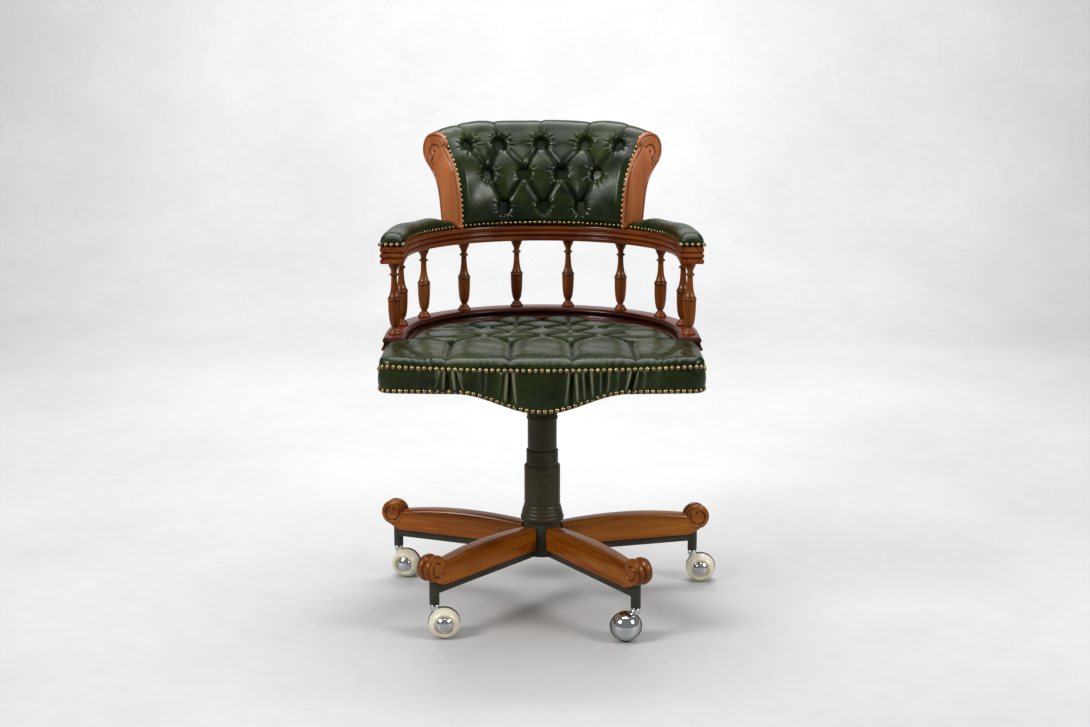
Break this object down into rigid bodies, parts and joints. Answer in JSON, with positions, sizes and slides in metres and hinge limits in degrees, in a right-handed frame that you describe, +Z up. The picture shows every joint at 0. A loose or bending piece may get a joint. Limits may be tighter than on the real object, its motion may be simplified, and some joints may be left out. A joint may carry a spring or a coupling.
{
  "type": "swivel office chair",
  "caption": "Captain's swivel chair: deep-buttoned leather seat and rolled back on a gallery of turned spindles, gas-lift column, arms with wooden caps and ball casters.",
  "frame": {"origin": "on the floor below the column's axis, where the wheels stand", "axes": "+Z up along the column, -Y is the seat's front, +X is the sitter's left and the viewer's right"},
  "size_m": [0.6572, 0.6249, 0.8861],
  "materials": {
    "green_leather": "antiqued, semi-gloss",
    "polished_wood": "stained, glossy lacquer",
    "dark_wood": "dark red stain, glossy lacquer",
    "antique_brass": "antique, polished on the domes",
    "painted_steel": "satin dark grey-green paint",
    "bright_steel": "zinc plated",
    "cover_plastic": "matt olive brown",
    "chrome": "polished",
    "ivory_plastic": "aged ivory",
    "plywood": "raw plywood"
  },
  "bodies": {
    "base": {"star_base": "painted_steel", "leg_cap_1": "polished_wood", "leg_cap_2": "polished_wood", "leg_cap_3": "polished_wood", "leg_cap_4": "polished_wood", "leg_cap_5": "polished_wood", "leg_cap_screws": "bright_steel", "gas_cylinder": "painted_steel", "thrust_bearing": "bright_steel", "guide_bush": "ivory_plastic", "column_lower_cover": "cover_plastic"},
    "middle_cover": {"column_middle_cover": "cover_plastic"},
    "rod": {"piston_rod": "bright_steel", "cylinder_clip": "bright_steel"},
    "lift": {"pressure_tube": "painted_steel", "column_upper_cover": "cover_plastic", "tilt_housing": "painted_steel", "tilt_pin": "bright_steel", "tension_spring": "bright_steel"},
    "lever": {"height_lever": "painted_steel"},
    "seat": {"tilt_plate": "painted_steel", "plate_bolts": "bright_steel", "seat_frame": "plywood", "seat_cushion": "green_leather", "front_apron": "green_leather", "side_band": "green_leather", "lower_rail": "dark_wood", "spindle_1": "polished_wood", "spindle_2": "polished_wood", "spindle_3": "polished_wood", "spindle_4": "polished_wood", "spindle_5": "polished_wood", "spindle_6": "polished_wood", "spindle_7": "polished_wood", "spindle_8": "polished_wood", "spindle_9": "polished_wood", "spindle_10": "polished_wood", "upper_rail_back": "polished_wood", "upper_rail_left": "polished_wood", "upper_rail_right": "polished_wood", "arm_pad_left": "green_leather", "arm_pad_right": "green_leather", "back_frame": "plywood", "back_cushion": "green_leather", "back_panel": "green_leather", "scroll_left": "polished_wood", "scroll_right": "polished_wood"},
    "knob": {"spring_cup": "bright_steel", "tension_knob": "painted_steel"},
    "caster_1": {"caster_hood_1": "chrome"},
    "wheel_1": {"caster_wheel_1": "ivory_plastic"},
    "caster_2": {"caster_hood_2": "chrome"},
    "wheel_2": {"caster_wheel_2": "ivory_plastic"},
    "caster_3": {"caster_hood_3": "chrome"},
    "wheel_3": {"caster_wheel_3": "ivory_plastic"},
    "caster_4": {"caster_hood_4": "chrome"},
    "wheel_4": {"caster_wheel_4": "ivory_plastic"},
    "caster_5": {"caster_hood_5": "chrome"},
    "wheel_5": {"caster_wheel_5": "ivory_plastic"}
  },
  "joints": [
    {"name": "seat_swivel", "type": "hinge", "parent": "base", "child": "rod", "pos_m": [0, 0, 0.1], "axis": [0, 0, 1], "continuous": true},
    {"name": "seat_height", "type": "slide", "parent": "rod", "child": "lift", "axis": [0, 0, 1], "range_m": [-0.045, 0.055]},
    {"name": "middle_cover_slide", "type": "slide", "parent": "base", "child": "middle_cover", "axis": [0, 0, 1], "range_m": [-0.0225, 0.0275]},
    {"name": "lever_lift", "type": "hinge", "parent": "lift", "child": "lever", "pos_m": [0.05, 0, 0.418], "axis": [0, -1, 0], "range_deg": [0, 4], "stiffness_Nm_per_rad": 2, "springref_deg": -17.19},
    {"name": "seat_tilt", "type": "hinge", "parent": "lift", "child": "seat", "pos_m": [0, -0.04, 0.428], "axis": [-1, 0, 0], "range_deg": [0, 12], "stiffness_Nm_per_rad": 220, "springref_deg": -17.19, "deforming": ["tension_spring"]},
    {"name": "knob_turn", "type": "hinge", "parent": "seat", "child": "knob", "pos_m": [0, -0.084, 0.393], "axis": [0, 0, 1], "continuous": true},
    {"name": "caster_swivel_1", "type": "hinge", "parent": "base", "child": "caster_1", "pos_m": [-0.19194, -0.23703, 0.07], "axis": [0, 0, 1], "continuous": true},
    {"name": "wheel_roll_1", "type": "hinge", "parent": "caster_1", "child": "wheel_1", "pos_m": [-0.17498, -0.23584, 0.028], "axis": [-0.0698, 0.9976, 0], "continuous": true},
    {"name": "caster_swivel_2", "type": "hinge", "parent": "base", "child": "caster_2", "pos_m": [0.16612, -0.25579, 0.07], "axis": [0, 0, 1], "continuous": true},
    {"name": "wheel_roll_2", "type": "hinge", "parent": "caster_2", "child": "wheel_2", "pos_m": [0.14911, -0.25579, 0.028], "axis": [0, -1, 0], "continuous": true},
    {"name": "caster_swivel_3", "type": "hinge", "parent": "base", "child": "caster_3", "pos_m": [0.29461, 0.07894, 0.07], "axis": [0, 0, 1], "continuous": true},
    {"name": "wheel_roll_3", "type": "hinge", "parent": "caster_3", "child": "wheel_3", "pos_m": [0.31151, 0.07716, 0.028], "axis": [0.1045, 0.9945, 0], "continuous": true},
    {"name": "caster_swivel_4", "type": "hinge", "parent": "base", "child": "caster_4", "pos_m": [0.01596, 0.30458, 0.07], "axis": [0, 0, 1], "continuous": true},
    {"name": "wheel_roll_4", "type": "hinge", "parent": "caster_4", "child": "wheel_4", "pos_m": [-0.00001, 0.29877, 0.028], "axis": [0.342, -0.9397, 0], "continuous": true},
    {"name": "caster_swivel_5", "type": "hinge", "parent": "base", "child": "caster_5", "pos_m": [-0.28474, 0.1093, 0.07], "axis": [0, 0, 1], "continuous": true},
    {"name": "wheel_roll_5", "type": "hinge", "parent": "caster_5", "child": "wheel_5", "pos_m": [-0.26825, 0.10519, 0.028], "axis": [0.2419, 0.9703, 0], "continuous": true}
  ],
  "couplings": [
    {"joint": "middle_cover_slide", "follows": "seat_height", "ratio": 0.5}
  ]
}
